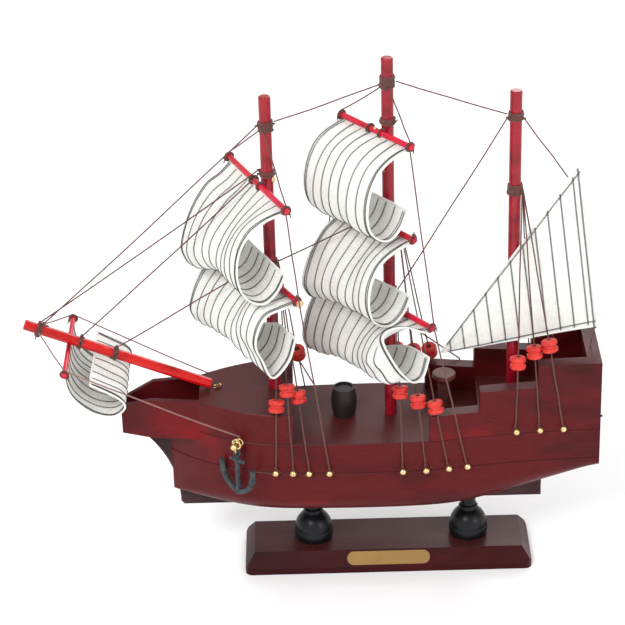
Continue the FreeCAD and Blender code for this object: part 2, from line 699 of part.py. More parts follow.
def edge_height(x):
    """The height of the hull's side at x."""
    steps = ((S.forecastle_aft_x, forecastle_z), (S.bulwark_front_x, deck_z),
             (S.bulwark_middle_x, deck_z + S.bulwark_low),
             (S.bulwark_rear_x, deck_z + S.bulwark_middle),
             (S.stern_x, deck_z + S.bulwark_high))
    return next(top for end, top in steps if x <= end)


def edge_spot(start, foot, side):
    """Where a thread from start to foot bends over the hull's edge."""
    x = foot.x
    for _ in range(2):
        share = (edge_height(x) - foot.z) / (start.z - foot.z)
        x = foot.x + (start.x - foot.x) * share
    return pin_spot(x, edge_height(x) + S.thread_gap, side)


# A row of pins for each mast: height, and the places along the hull.
PIN_Z = S.lower_board_top + S.pin_rise
HIGH_PIN_Z = deck_z + S.pin_rise + 0.6
FORE_HOUNDS, MAIN_HOUNDS = S.fore_lower_yard_z + 4.0, S.main_middle_yard_z + 4.3
# mast: pin height, then (start height, pin x, bead height over the deck) for each shroud
SHROUDS = {
    "fore": (PIN_Z, ((FORE_HOUNDS, -46.6, 18.0), (FORE_HOUNDS, -39.4, 24.0),
                     (FORE_HOUNDS, -32.8, 19.5))),
    "main": (PIN_Z, ((S.main_lower_yard_z + 4.0, 5.9, 20.0), (MAIN_HOUNDS, 15.5, 17.2),
                     (MAIN_HOUNDS, 24.7, 16.0))),
    "mizzen": (HIGH_PIN_Z, ((173.0, 53.0, 32.5), (173.0, 62.9, 36.4), (173.0, 72.7, 39.6))),
}
ANCHOR_PIN_Z = deck_z + S.anchor_pin_drop
BRACE_PINS = {"fore": (-24.4, PIN_Z), "main": (32.5, PIN_Z)}
SIDES = {"port": -1, "starboard": 1}


def bead(centre, axis):
    """A small spool bead: a bored cylinder with a groove round its middle."""
    low = centre - axis * (S.bead_height / 2)
    ease, groove = 1.0, 0.8
    blank = Part.makeCylinder(S.bead_radius, S.bead_height, low, axis)
    rims = [e for e in blank.Edges if e.BoundBox.DiagonalLength < 2.9 * S.bead_radius
            and e.Curve.TypeId == "Part::GeomCircle"]
    blank = blank.makeFillet(ease, rims)
    ring = Part.makeTorus(S.bead_radius + 0.15, groove, centre, axis)
    bore = Part.makeCylinder(S.bead_bore_radius, 2 * S.bead_height,
                             low - axis * (S.bead_height / 2), axis)
    return blank.cut(ring).cut(bore)


def make_shrouds():
    for name, (pin_z, spots) in SHROUDS.items():
        threads, beads = [], []
        for side in SIDES.values():
            for number, (start_z, x, bead_rise) in enumerate(spots):
                start = on_mast(name, start_z - 0.9 * (number - 1), side * (35 - 15 * number))
                end = pin_spot(x, pin_z + S.pin_shank_radius + S.thread_radius, side)
                edge = edge_spot(start, end, side)
                axis = (edge - start).normalize()
                threads.append(thread([start, edge, end]))
                centre = start + axis * ((deck_z + bead_rise - start.z) / axis.z)
                beads.append(bead(centre, axis * -1))
        group(f"{name}_shrouds", threads)
        group(f"{name}_deadeyes", beads)


def pin(x, z, side, reach):
    """A brass pin standing out of the hull's side, with a ball head."""
    outward = Rotation(UP, side * side_angle(x)).multVec(Vector(0, side, 0))
    root = Vector(x, side * (half_width(x) + S.pin_seat), z)
    shank = Part.makeCylinder(S.pin_shank_radius, reach, root, outward)
    return shank.fuse(Part.makeSphere(S.pin_head_radius, root + outward * reach))


def make_pins():
    places = [(x, pin_z) for pin_z, spots in SHROUDS.values() for _, x, _ in spots]
    places += list(BRACE_PINS.values())
    reach = S.pin_reach + S.pin_head_radius
    pins = [pin(x, z, side, reach) for side in SIDES.values() for x, z in places]
    anchor_reach = S.anchor_gap + 1.6 + S.pin_head_radius
    pins += [pin(S.anchor_x, ANCHOR_PIN_Z, side, anchor_reach) for side in SIDES.values()]
    group("brass_pins", pins)


def make_stays():
    """Threads between the masts and the bowsprit."""
    top = S.bowsprit_radius + S.spar_clearance + 3 * S.thread_radius
    lift = Vector(math.sin(RISE), 0, math.cos(RISE)) * top
    group("fore_stays", [
        thread([on_mast("fore", 203.3, 180), on_bowsprit(-142.0) + lift]),
        thread([on_mast("fore", S.fore_upper_yard_z + 5.4, 165), on_bowsprit(-143.5) + lift]),
        thread([on_mast("fore", S.fore_upper_yard_z + 4.4, 195), on_bowsprit(-126.5) + lift]),
        thread([on_mast("fore", S.fore_lower_yard_z + 4.0, 180), on_bowsprit(-112.4) + lift]),
    ])
    group("mast_stays", [
        thread([on_mast("main", 219.6, 180), on_mast("fore", 205.0, 0)]),
        thread([on_mast("main", S.main_middle_yard_z + 4.0, 180),
                on_mast("fore", S.fore_lower_yard_z + 4.0, 0)]),
        thread([on_mast("mizzen", 205.6, 180), on_mast("main", 221.0, 0)]),
        thread([on_mast("mizzen", 204.0, 180), on_mast("main", S.main_lower_yard_z + 4.0, 0)]),
    ])
    peak = Vector(S.mizzen_mast_x + 21.0, -(S.mast_radius + S.sail_thickness), 178.6)
    clew = Vector(S.mizzen_mast_x + 33.6, -(S.mast_radius + S.sail_thickness), 109.9)
    transom = Vector(S.stern_x - 0.6 * S.bulwark_thickness, -3.0, deck_z + S.bulwark_high)
    group("mizzen_sail_threads", [
        thread([on_mast("mizzen", 204.0, -20), peak]),
        thread([clew, transom]),
    ])


def make_running_rigging():
    """Threads between the yards and the masts, the hull or the bowsprit."""
    group("fore_lifts", [
        thread([on_mast("fore", 201.6, -side * 100), yard_end("fore_upper", side)])
        for side in (1, -1)])
    group("main_lifts", [
        thread([on_mast("main", 219.6, -side * 80), yard_end("main_upper", side)])
        for side in (1, -1)])
    for mast, upper, lower in (("fore", "fore_upper", "fore_lower"),
                               ("main", "main_upper", "main_lower")):
        braces = []
        for side in SIDES.values():
            x, z = BRACE_PINS[mast]
            foot = pin_spot(x, z + S.pin_shank_radius + S.thread_radius, side)
            high = YARDS[upper].at(-side * (YARDS[upper].length / 2 - 1.4))
            low = YARDS[lower].at(-side * (YARDS[lower].length / 2 + 0.5))
            drop = Vector(0, 0, -(S.yard_radius + 3 * S.thread_radius + S.spar_clearance))
            route = [high + drop, low + Vector(0, side * 1.0, 0), foot]
            if mast == "main" and side > 0:      # this one bears on the rail
                route.insert(2, pin_spot(x, edge_height(x) + S.thread_gap, side))
            braces.append(thread(route))
        group(f"{mast}_braces", braces)
    tip = on_bowsprit(-143.0)
    side_skin = S.bowsprit_radius + 3 * S.thread_radius + S.spar_clearance
    lines = []
    for side in SIDES.values():
        end = yard_end("sprit", -side)
        lines.append(thread([tip + Vector(0, side * side_skin, 0), end]))
        outward = Rotation(UP, side * side_angle(S.anchor_x)).multVec(Vector(0, side, 0))
        foot = Vector(S.anchor_x, side * half_width(S.anchor_x), ANCHOR_PIN_Z) + outward * 0.45
        lines.append(thread([end + Vector(1.6, 0, -1.0),
                             foot + Vector(0, 0, S.pin_shank_radius + S.thread_radius)]))
    group("sprit_lines", lines)
    loops = [Part.makeTorus(0.8, 0.22, SPRIT_ROOT + Vector(1.5 + 1.1 * i, 0.5 * (i - 1), -1.0),
                            Vector(0.4 * i, 1, 0.3)) for i in range(3)]
    group("bowsprit_wire", loops)


# ---------------------------------------------------------------- anchors
def anchor_axes(side):
    """The pin's root on the hull, the way out of the hull and the way along it."""
    turn = Rotation(UP, side * side_angle(S.anchor_x))
    root = Vector(S.anchor_x, side * half_width(S.anchor_x), ANCHOR_PIN_Z)
    return root, turn.multVec(Vector(0, side, 0)), turn.multVec(Vector(1, 0, 0))


def link_centres(side):
    """The middles of the two links that the anchor hangs from."""
    root, outward, _ = anchor_axes(side)
    wire = S.link_wire
    upper = root + outward * S.anchor_gap + UP * (S.pin_shank_radius + wire + 0.05
                                                  - S.link_radius)
    return upper, upper - UP * (2 * S.link_radius - 2 * wire - 0.1)


def make_chains():
    """On each side a bunch of brass links on the anchor's pin, and one more below them."""
    links = []
    wire, radius = S.link_wire, S.link_radius
    hang = radius - wire - S.pin_shank_radius - 0.05
    for side in SIDES.values():
        root, outward, along = anchor_axes(side)
        upper, lower = link_centres(side)
        links.append(Part.makeTorus(radius, wire, upper, outward))
        links.append(Part.makeTorus(radius, wire, lower, along))
        for out, lean in ((-0.9, -50), (-1.8, 55), (0.9, 65)):
            turn = math.radians(lean)
            spot = root + outward * (S.anchor_gap + out) + (
                along * math.sin(turn) - UP * math.cos(turn)) * hang
            links.append(Part.makeTorus(radius, wire, spot, outward))
    group("anchor_chains", links)


def anchor_pivot(side):
    """Where the anchor's ring hangs in the lower link."""
    return link_centres(side)[1] - UP * (S.link_radius - 2 * S.link_wire - 0.05)


def make_anchor(label, side):
    """An anchor hanging beside the bow: ring, shank, stock, arms and flukes."""
    _, outward, along = anchor_axes(side)
    across = Rotation(UP, side * S.anchor_turn).multVec(along)
    facing = Rotation(UP, side * S.anchor_turn).multVec(outward)
    pivot = anchor_pivot(side)
    half, wide = S.anchor_wire, S.anchor_half_width
    top, foot = pivot - UP * 2.0, pivot - UP * S.anchor_height
    solid = Part.makeCylinder(half, (top - foot).Length, foot, UP)
    solid = solid.fuse(Part.makeTorus(half + 0.25, 0.45, pivot - UP * 0.98, outward))
    stock, span = top - UP * 2.4, 3.7
    solid = solid.fuse(Part.makeCylinder(0.8 * half, 2 * span, stock - across * span, across))
    solid = solid.fuse(Part.makeCone(0.2, 1.5 * half, 2.0, foot - UP * 1.6, UP))
    for sign in (-1, 1):
        tip = foot + across * (sign * wide) + UP * S.anchor_arm_rise
        knee = foot + across * (sign * 0.72 * wide) + UP * (0.27 * S.anchor_arm_rise)
        bend = Part.Arc(foot, knee, tip)
        middle = bend.value((bend.FirstParameter + 2 * bend.LastParameter) / 3)
        curve = bend.toShape()
        ring = Part.Circle(foot, curve.tangentAt(curve.FirstParameter), 1.1 * half).toShape()
        solid = solid.fuse(Part.Wire(curve).makePipeShell([Part.Wire(ring)], True, True))
        fluke = Part.makeCone(1.5, 0.4, 5.2, middle, tip - middle + UP * 0.5)
        solid = solid.fuse(fluke)
    solid = solid.fuse(Part.makeSphere(1.4 * half, foot))
    feature(label, solid.removeSplitter())


make_base()
make_spindle("spindle_front", S.spindle_front_x)
make_spindle("spindle_rear", S.spindle_rear_x)
lower_hull, upper_hull = make_hull()
for bulwark, hand in (("stern_bulwark_port", -1), ("stern_bulwark_starboard", 1)):
    make_bulwark(bulwark, hand)
make_transom()
make_beak(upper_hull)
make_keel(lower_hull)
make_fittings()
make_masts()
make_yards()
make_sails()
make_lashings()
make_shrouds()
make_pins()
make_stays()
make_running_rigging()
make_chains()
for hand, sign in SIDES.items():
    make_anchor(f"anchor_{hand}", sign)

# ---------------------------------------------------------------- checks and files
doc.recompute()
for item in doc.Objects:
    if {"Invalid", "Error"} & set(item.State):
        raise RuntimeError(f"{item.Label} is {item.State}")
os.makedirs("parts", exist_ok=True)
for piece in PIECES:
    shape = piece.Shape
    if shape.isNull() or not shape.isValid() or not shape.Solids:
        raise RuntimeError(f"{piece.Label} has no valid solid")
    shape.exportStep(f"parts/{piece.Label}.step")
for hand, sign in SIDES.items():
    print("anchor pivot", hand, [round(v, 4) for v in anchor_pivot(sign)],
          "axis", [round(v, 4) for v in anchor_axes(sign)[1]])
print("sprit yard crosses at", [round(v, 4) for v in sprit_crossing])
print(len(PIECES), "pieces")
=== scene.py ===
import json
import math
import random

import bmesh
import bpy
import numpy as np
from mathutils import Matrix, Vector


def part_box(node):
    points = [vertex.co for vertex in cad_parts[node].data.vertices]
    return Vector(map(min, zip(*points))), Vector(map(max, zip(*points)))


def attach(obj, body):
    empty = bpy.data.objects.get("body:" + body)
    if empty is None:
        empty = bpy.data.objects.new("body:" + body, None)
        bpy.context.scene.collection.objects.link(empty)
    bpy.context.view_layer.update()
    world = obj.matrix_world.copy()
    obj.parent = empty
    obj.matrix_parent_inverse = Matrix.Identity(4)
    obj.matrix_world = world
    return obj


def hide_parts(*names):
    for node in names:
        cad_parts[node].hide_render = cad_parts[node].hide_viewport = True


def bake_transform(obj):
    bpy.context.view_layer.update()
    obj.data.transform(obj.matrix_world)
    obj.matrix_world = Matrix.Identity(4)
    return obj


# The looks of a three-masted display ship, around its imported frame.
# X runs aft, Y to starboard and Z up. Everything is in metres.

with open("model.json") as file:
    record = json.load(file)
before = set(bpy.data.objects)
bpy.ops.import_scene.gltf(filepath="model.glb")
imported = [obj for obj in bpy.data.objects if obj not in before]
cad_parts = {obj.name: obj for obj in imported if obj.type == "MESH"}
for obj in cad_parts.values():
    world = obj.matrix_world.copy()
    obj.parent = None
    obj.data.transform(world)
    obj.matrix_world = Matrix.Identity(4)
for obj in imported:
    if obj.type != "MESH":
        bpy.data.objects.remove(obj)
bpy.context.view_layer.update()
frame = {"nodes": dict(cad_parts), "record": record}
NODES = frame["nodes"]
BODY = {node: body for body, nodes in frame["record"]["behaviour"]["bodies"].items()
        for node in nodes}
MM = 0.001
UP = Vector((0, 0, 1))


# ---------------------------------------------------------------- camera, light and floor
VIEW_DEGREES = (0.2, 28.3, 1.615)             # azimuth, elevation and roll
VIEW_TARGET = Vector((-29.74, 0, 118.73)) * MM
VIEW_DISTANCE = 1.0123
LENS, SENSOR = 141.3, 36                      # in mm
STUDIO_MIDDLE = (-0.03, 0, 0.11)
FLOOR_SIZE, FLOOR_DROP = 16, 0.0002


def make_camera():
    """The view from the port side, well above, turned very slightly."""
    azimuth, elevation, roll = (math.radians(a) for a in VIEW_DEGREES)
    back = Vector((math.sin(azimuth) * math.cos(elevation),
                   -math.cos(azimuth) * math.cos(elevation), math.sin(elevation)))
    right = Vector((math.cos(azimuth), math.sin(azimuth), 0))
    up = back.cross(right)
    across = right * math.cos(roll) - up * math.sin(roll)
    above = right * math.sin(roll) + up * math.cos(roll)
    camera = bpy.data.objects.new("camera", bpy.data.cameras.new("camera"))
    camera.data.lens = LENS
    camera.data.sensor_width = SENSOR
    camera.data.clip_end = 20
    place = Matrix((across, above, back)).transposed().to_4x4()
    place.translation = VIEW_TARGET + back * VIEW_DISTANCE
    camera.matrix_world = place
    bpy.context.scene.collection.objects.link(camera)
    bpy.context.scene.camera = camera


def area_light(name, place, size, power):
    """A round white light that faces the middle of the object."""
    data = bpy.data.lights.new(name, "AREA")
    data.shape, data.size, data.energy = "DISK", size, power
    light = bpy.data.objects.new(name, data)
    light.location = place
    light.rotation_euler = (Vector(place) - Vector(STUDIO_MIDDLE)).to_track_quat("Z", "Y").to_euler()
    bpy.context.scene.collection.objects.link(light)


def make_light():
    world = bpy.data.worlds.new("studio")
    bpy.context.scene.world = world
    world.use_nodes = True
    world.node_tree.nodes["Background"].inputs["Color"].default_value = (1, 1, 1, 1)
    world.node_tree.nodes["Background"].inputs["Strength"].default_value = 0.80
    area_light("key", (-0.45, -0.8, 0.95), 0.5, 9.0)
    area_light("fill", (0.8, -0.7, 0.45), 0.6, 3.0)
    area_light("rim", (0.3, 0.9, 0.8), 0.6, 4.5)
    bpy.context.scene.view_settings.view_transform = "Standard"


def make_floor():
    bpy.ops.mesh.primitive_plane_add(size=FLOOR_SIZE, location=(0, 0, -FLOOR_DROP))
    floor = bpy.context.object
    floor.name = "floor"
    stuff = bpy.data.materials.new("floor_white")
    stuff.use_nodes = True
    shader = stuff.node_tree.nodes["Principled BSDF"]
    shader.inputs["Base Color"].default_value = (0.96, 0.96, 0.96, 1)
    shader.inputs["Roughness"].default_value = 0.9
    floor.data.materials.append(stuff)


# ---------------------------------------------------------------- materials
class Stuff:
    """A node material being built: each call adds a node and returns its output."""

    def __init__(self, name, roughness=0.5, **sockets):
        self.material = bpy.data.materials.new(name)
        self.material.use_nodes = True
        self.nodes, self.links = self.material.node_tree.nodes, self.material.node_tree.links
        self.shader = self.nodes["Principled BSDF"]
        self.shader.inputs["Roughness"].default_value = roughness
        for socket, value in sockets.items():
            self.shader.inputs[socket.replace("_", " ")].default_value = value
        self.place = self.nodes.new("ShaderNodeTexCoord").outputs["Object"]

    def node(self, kind, inputs=(), **settings):
        made = self.nodes.new(kind)
        for name, value in settings.items():
            setattr(made, name, value)
        for name, value in dict(inputs).items():
            if hasattr(value, "is_output"):
                self.links.new(value, made.inputs[name])
            else:
                made.inputs[name].default_value = value
        return made

    def mapped(self, scale=(1, 1, 1), turn=(0, 0, 0)):
        return self.node("ShaderNodeMapping", {"Vector": self.place, "Scale": scale,
                                               "Rotation": turn}).outputs["Vector"]

    def noise(self, scale, detail=3.0, rough=0.55, stretch=(1, 1, 1), turn=(0, 0, 0), twist=0.0):
        return self.node("ShaderNodeTexNoise", {
            "Vector": self.mapped(stretch, turn), "Scale": scale, "Detail": detail,
            "Roughness": rough, "Distortion": twist}).outputs["Fac"]

    def ramp(self, value, stops):
        """Colours or grey values along a factor: stops are (position, colour or grey)."""
        made = self.node("ShaderNodeValToRGB", {"Fac": value})
        band = made.color_ramp.elements
        while len(band) < len(stops):
            band.new(0.5)
        for element, (position, colour) in zip(band, stops):
            element.position = position
            grey = isinstance(colour, (int, float))
            element.color = (colour,) * 3 + (1,) if grey else (*colour, 1)
        return made.outputs["Color"]

    def mix(self, share, a, b, mode="MIX"):
        made = self.node("ShaderNodeMix", data_type="RGBA", blend_type=mode)
        for index, value in ((0, share), (6, a), (7, b)):
            if hasattr(value, "is_output"):
                self.links.new(value, made.inputs[index])
            elif index == 0:
                made.inputs[index].default_value = value
            else:
                made.inputs[index].default_value = (*value, 1)
        return made.outputs[2]

    def maths(self, operation, a, b=0.0):
        made = self.nodes.new("ShaderNodeMath")
        made.operation = operation
        for index, value in enumerate((a, b)):
            if hasattr(value, "is_output"):
                self.links.new(value, made.inputs[index])
            else:
                made.inputs[index].default_value = value
        return made.outputs[0]

    def facing(self, axis):
        """The surface normal's share along one axis."""
        normal = self.nodes.new("ShaderNodeNewGeometry").outputs["Normal"]
        return self.node("ShaderNodeSeparateXYZ", {"Vector": normal}).outputs[axis]

    def wire(self, socket, value):
        self.links.new(value, self.shader.inputs[socket])

    def bump(self, height, strength, distance):
        made = self.node("ShaderNodeBump", {"Height": height, "Strength": strength,
                                            "Distance": distance})
        self.wire("Normal", made.outputs["Normal"])


def hull_wood(name, side, patch, haze_and_top_sheen, dark, gloss=0.34):
    """Varnished boards: lengthwise grain, brighter varnish patches, a pale brown haze in random
    spots, and upward faces painted in that paler colour as a painted sheen of light from above.
    """
    made = Stuff(name, Specular_IOR_Level=0.12, Coat_Weight=0.04, Coat_Roughness=0.15)
    grain = made.noise(1900, 5, 0.65, (0.045, 1, 1), twist=0.4)
    patches = made.noise(38, 3, 0.5, (0.45, 1, 1.2))
    haze = made.noise(95, 4, 0.6, (0.5, 1, 1))
    colour = made.ramp(patches, [(0.3, dark), (0.47, side), (0.62, side), (0.75, patch)])
    colour = made.mix(made.ramp(haze, [(0.5, 0.0), (0.75, 0.28)]), colour, haze_and_top_sheen)
    # Faces that point up blend to the paler colour: a painted sheen of light from above on the upper
    # faces.
    colour = made.mix(made.ramp(made.facing("Z"), [(0.55, 0.0), (0.9, 0.85)]), colour, haze_and_top_sheen)
    streaks = made.ramp(grain, [(0.3, (0.62, 0.55, 0.55)), (0.5, (1, 1, 1)),
                                (0.72, (1.0, 0.93, 0.93))])
    colour = made.mix(0.85, colour, streaks, "MULTIPLY")
    made.wire("Base Color", colour)
    rough = made.ramp(patches, [(0.3, gloss + 0.2), (0.75, gloss - 0.06)])
    made.wire("Roughness", rough)
    made.bump(grain, 0.35, 0.00012)
    return made.material


def keel_wood():
    made = Stuff("dark_keel_stain", 0.62, Specular_IOR_Level=0.2)
    grain = made.noise(1700, 5, 0.6, (0.05, 1, 1))
    blotches = made.noise(60, 3)
    colour = made.ramp(blotches, [(0.35, (0.028, 0.014, 0.016)), (0.7, (0.085, 0.034, 0.036))])
    made.wire("Base Color", made.mix(0.7, colour, made.ramp(grain, [(0.3, 0.5), (0.7, 1.0)]),
                                     "MULTIPLY"))
    made.bump(grain, 0.35, 0.0001)
    return made.material


def dowel_wood(name, direction, bright, deep, gloss=0.22):
    """A red dyed dowel: grain streaks along it, a few pale rubs and a clear gloss."""
    made = Stuff(name, gloss, Specular_IOR_Level=0.3, Coat_Weight=0.12, Coat_Roughness=0.15)
    turn = Vector(direction).rotation_difference(Vector((1, 0, 0))).to_euler()
    grain = made.noise(2100, 4, 0.6, (0.03, 1, 1), tuple(turn))
    blush = made.noise(120, 3, 0.5, (0.35, 1, 1), tuple(turn))
    rubs = made.noise(430, 2, 0.5, (0.2, 1, 1), tuple(turn))
    colour = made.ramp(blush, [(0.3, deep), (0.55, bright), (0.8, bright)])
    streaks = made.ramp(grain, [(0.28, (0.6, 0.5, 0.5)), (0.5, (1, 1, 1))])
    colour = made.mix(0.75, colour, streaks, "MULTIPLY")
    colour = made.mix(made.ramp(rubs, [(0.68, 0.0), (0.8, 0.5)]), colour, (0.85, 0.25, 0.22))
    made.wire("Base Color", colour)
    made.bump(grain, 0.25, 0.00008)
    return made.material


def bead_paint():
    made = Stuff("bead_paint", 0.4, Specular_IOR_Level=0.3)
    blush = made.noise(260, 3)
    chips = made.noise(900, 2)
    colour = made.ramp(blush, [(0.3, (0.46, 0.018, 0.014)), (0.7, (0.68, 0.048, 0.034))])
    colour = made.mix(made.ramp(chips, [(0.66, 0.0), (0.72, 0.7)]), colour, (0.30, 0.012, 0.012))
    made.wire("Base Color", colour)
    made.bump(blush, 0.2, 0.00012)
    return made.material


def lacquer(name, low, high, rough, scale=140):
    made = Stuff(name, rough, Specular_IOR_Level=0.22, Coat_Weight=0.05,
                 Coat_Roughness=0.2)
    mottle = made.noise(scale, 4)
    fine = made.noise(1500, 3)
    made.wire("Base Color", made.ramp(mottle, [(0.3, low), (0.72, high)]))
    made.wire("Roughness", made.ramp(fine, [(0.3, rough - 0.06), (0.7, rough + 0.12)]))
    made.bump(fine, 0.12, 0.00006)
    return made.material


def metal(name, low, high, rough, scale=900):
    made = Stuff(name, rough, Metallic=1.0)
    mottle = made.noise(scale, 3)
    made.wire("Base Color", made.ramp(mottle, [(0.3, low), (0.7, high)]))
    made.wire("Roughness", made.ramp(mottle, [(0.3, rough + 0.15), (0.7, rough)]))
    made.bump(mottle, 0.15, 0.00005)
    return made.material


def thread_stuff(name, low, high):
    """Twisted cotton: darker in the twist, lighter fuzz outside."""
    made = Stuff(name, 0.85)
    fuzz = made.noise(3200, 3)
    length = made.noise(150, 2)
    colour = made.ramp(fuzz, [(0.3, low), (0.7, high)])
    colour = made.mix(made.ramp(length, [(0.4, 0.0), (0.7, 0.3)]), colour, low)
    made.wire("Base Color", colour)
    made.shader.inputs["Sheen Weight"].default_value = 0.25
    made.bump(fuzz, 0.4, 0.00008)
    return made.material


def cloth():
    """Fine off-white cotton with a plain weave, grey vertical streaks of uneven yarn that also stand
    as painted shade in the folds, and faint dye stains.
    """
    made = Stuff("sailcloth", 0.92)
    made.shader.inputs["Sheen Weight"].default_value = 0.15
    weave = []
    for stretch in ((1, 1, 0.05), (0.05, 0.05, 1)):
        weave.append(made.noise(4200, 1, 0.5, stretch))
    threads = made.maths("MAXIMUM", *weave)
    # Grey vertical streaks: uneven yarn, and painted shade standing in for the folds.
    slub_and_fold_shade = made.noise(900, 3, 0.6, (1, 1, 0.12))
    stain = made.noise(55, 3)
    colour = made.ramp(threads, [(0.35, (0.63, 0.62, 0.575)), (0.6, (0.80, 0.795, 0.765))])
    colour = made.mix(made.ramp(slub_and_fold_shade, [(0.45, 0.0), (0.75, 0.25)]), colour, (0.67, 0.66, 0.62))
    colour = made.mix(made.ramp(stain, [(0.66, 0.0), (0.8, 0.25)]), colour, (0.76, 0.62, 0.60))
    made.wire("Base Color", colour)
    made.bump(threads, 0.5, 0.00008)
    return made.material


def glue():
    made = Stuff("dried_glue", 0.18, Transmission_Weight=0.25, IOR=1.45)
    cloud = made.noise(700, 3)
    made.wire("Base Color", made.ramp(cloud, [(0.35, (0.72, 0.52, 0.18)),
                                              (0.65, (0.90, 0.82, 0.60))]))
    made.bump(cloud, 0.4, 0.0002)
    return made.material


# ---------------------------------------------------------------- reading the frame
def islands(node):
    """The node's separate solids, each as an array of its points."""
    graph = bmesh.new()
    graph.from_mesh(NODES[node].data)
    bmesh.ops.remove_doubles(graph, verts=graph.verts, dist=1e-7)
    graph.verts.ensure_lookup_table()
    seen, found = set(), []
    for start in graph.verts:
        if start.index in seen:
            continue
        seen.add(start.index)
        stack, points = [start], []
        while stack:
            vertex = stack.pop()
            points.append(tuple(vertex.co))
            for edge in vertex.link_edges:
                other = edge.other_vert(vertex)
                if other.index not in seen:
                    seen.add(other.index)
                    stack.append(other)
        found.append(np.array(points))
    graph.free()
    return found


def routes(node, gather=1.2 * MM):
    """The turning points of each thread of a node, from its highest end to its lowest."""
    found = []
    for points in islands(node):
        groups = []
        for point in points:
            for group in groups:
                if np.linalg.norm(point - group[0]) < gather:
                    group.append(point)
                    break
            else:
                groups.append([point])
        middles = [Vector((np.array(g).min(0) + np.array(g).max(0)) / 2) for g in groups]
        found.append(sorted(middles, key=lambda p: -p.z))
    return found


class Spar:
    """A mast or yard read from the frame: its middle, direction, half length and radius."""

    def __init__(self, node):
        points = np.array([v.co for v in NODES[node].data.vertices])
        self.middle = Vector((points.min(0) + points.max(0)) / 2)
        _, _, axes = np.linalg.svd(points - points.mean(0), full_matrices=False)
        self.along = Vector(axes[0])
        if self.along.y > 0.05 or self.along.z < -0.5:
            self.along = -self.along
        away = points - np.array(self.middle)
        lengthwise = away @ np.array(self.along)
        self.half = float(lengthwise.max())
        self.radius = float(np.linalg.norm(away - np.outer(lengthwise, self.along),
                                           axis=1).max())

    def at(self, distance):
        return self.middle + self.along * distance


YARDS = {name: Spar(f"{name}_yard") for name in
         ("fore_upper", "fore_lower", "main_upper", "main_middle", "main_lower", "sprit")}
SPRIT = Spar("bowsprit")
if SPRIT.along.x > 0:
    SPRIT.along = -SPRIT.along


# ---------------------------------------------------------------- mesh helpers
def mesh_piece(name, points, faces, material):
    mesh = bpy.data.meshes.new(name)
    mesh.from_pydata([tuple(p) for p in points], [], faces)
    mesh.materials.append(material)
    mesh.polygons.foreach_set("use_smooth", [True] * len(mesh.polygons))
    piece = bpy.data.objects.new(name, mesh)
    bpy.context.scene.collection.objects.link(piece)
    return piece


class Build:
    """Gathers tubes and blobs into one mesh."""

    def __init__(self):
        self.points, self.faces = [], []

    def tube(self, path, radius, sides=7, twist=0.0, lobes=0.0):
        """A tube along the path; with lobes it is two strands twisted together."""
        path = [Vector(p) for p in path]
        start = len(self.points)
        side = None
        phase = 0.0
        last = len(path) - 1
        for index, point in enumerate(path):
            ahead = (path[min(index + 1, last)] - path[max(index - 1, 0)]).normalized()
            if side is None:
                side = ahead.orthogonal().normalized()
            side = (side - ahead * side.dot(ahead)).normalized()
            other = ahead.cross(side)
            if index:
                phase += twist * (point - path[index - 1]).length
            for k in range(sides):
                angle = 2 * math.pi * k / sides
                reach = radius * (1 + lobes * math.cos(2 * (angle - phase)))
                self.points.append(point + side * (reach * math.cos(angle))
                                   + other * (reach * math.sin(angle)))
        for ring in range(last):
            for k in range(sides):
                a = start + ring * sides + k
                b = start + ring * sides + (k + 1) % sides
                self.faces.append((a, b, b + sides, a + sides))
        self.faces.append(tuple(start + k for k in reversed(range(sides))))
        self.faces.append(tuple(start + last * sides + k for k in range(sides)))

    def blob(self, centre, radius, squash=(1, 1, 1), rough=0.2, seed=0):
        """A lumpy drop."""
        source = random.Random(seed)
        graph = bmesh.new()
        bmesh.ops.create_icosphere(graph, subdivisions=3, radius=1)
        offset = Vector([source.uniform(-9, 9) for _ in range(3)])
        base = len(self.points)
        for vertex in graph.verts:
            co = vertex.co
            swell = 1 + rough * math.sin(3.1 * co.x + offset.x) * math.cos(2.7 * co.y + offset.y)
            self.points.append(Vector(centre) + Vector((co.x * squash[0], co.y * squash[1],
                                                        co.z * squash[2])) * (radius * swell))
        for face in graph.faces:
            self.faces.append(tuple(base + v.index for v in face.verts))
        graph.free()

    def piece(self, name, material, body, slot, replaces=()):
        made = mesh_piece(name, self.points, self.faces, material)
        if body:
            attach(made, body)
        if replaces:
            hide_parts(*replaces)
        return made


def smooth_path(points, step):
    """A path through the points with rounded turns, about a step apart."""
    points = [Vector(p) for p in points]
    padded = [points[0] * 2 - points[1]] + points + [points[-1] * 2 - points[-2]]
    path = []
    for a, b, c, d in zip(padded, padded[1:], padded[2:], padded[3:]):
        count = max(2, round((c - b).length / step))
        for i in range(count):
            t = i / count
            path.append(0.5 * ((2 * b) + (c - a) * t + (2 * a - 5 * b + 4 * c - d) * t * t
                               + (3 * b - a - 3 * c + d) * t ** 3))
    path.append(points[-1])
    return path


# ---------------------------------------------------------------- threads
THREAD = 0.29 * MM
TWIST = 2 * math.pi / (1.5 * MM)      # one turn of the two strands in 1.5 mm


def yarn(build, points, radius=THREAD, sag=0.0, wave=0.10 * MM, seed=1):
    """A twisted thread through the points, with a slight sag and a hand-tied unevenness."""
    source = random.Random(seed)
    path = []
    for a, b in zip(points, points[1:]):
        a, b = Vector(a), Vector(b)
        length = (b - a).length
        count = max(3, round(length / (0.42 * MM)))
        phase = [source.uniform(0, 6.28) for _ in range(4)]
        for i in range(count):
            t = i / count
            point = a.lerp(b, t) - UP * (4 * sag * length * t * (1 - t))
            hold = math.sin(math.pi * t)
            point = point + Vector((math.sin(9 * t + phase[0]), math.sin(8 * t + phase[1]),
                                    math.sin(7 * t + phase[2]))) * (wave * hold)
            path.append(point)
    path.append(Vector(points[-1]))
    build.tube(path, radius, 8, TWIST, 0.22)


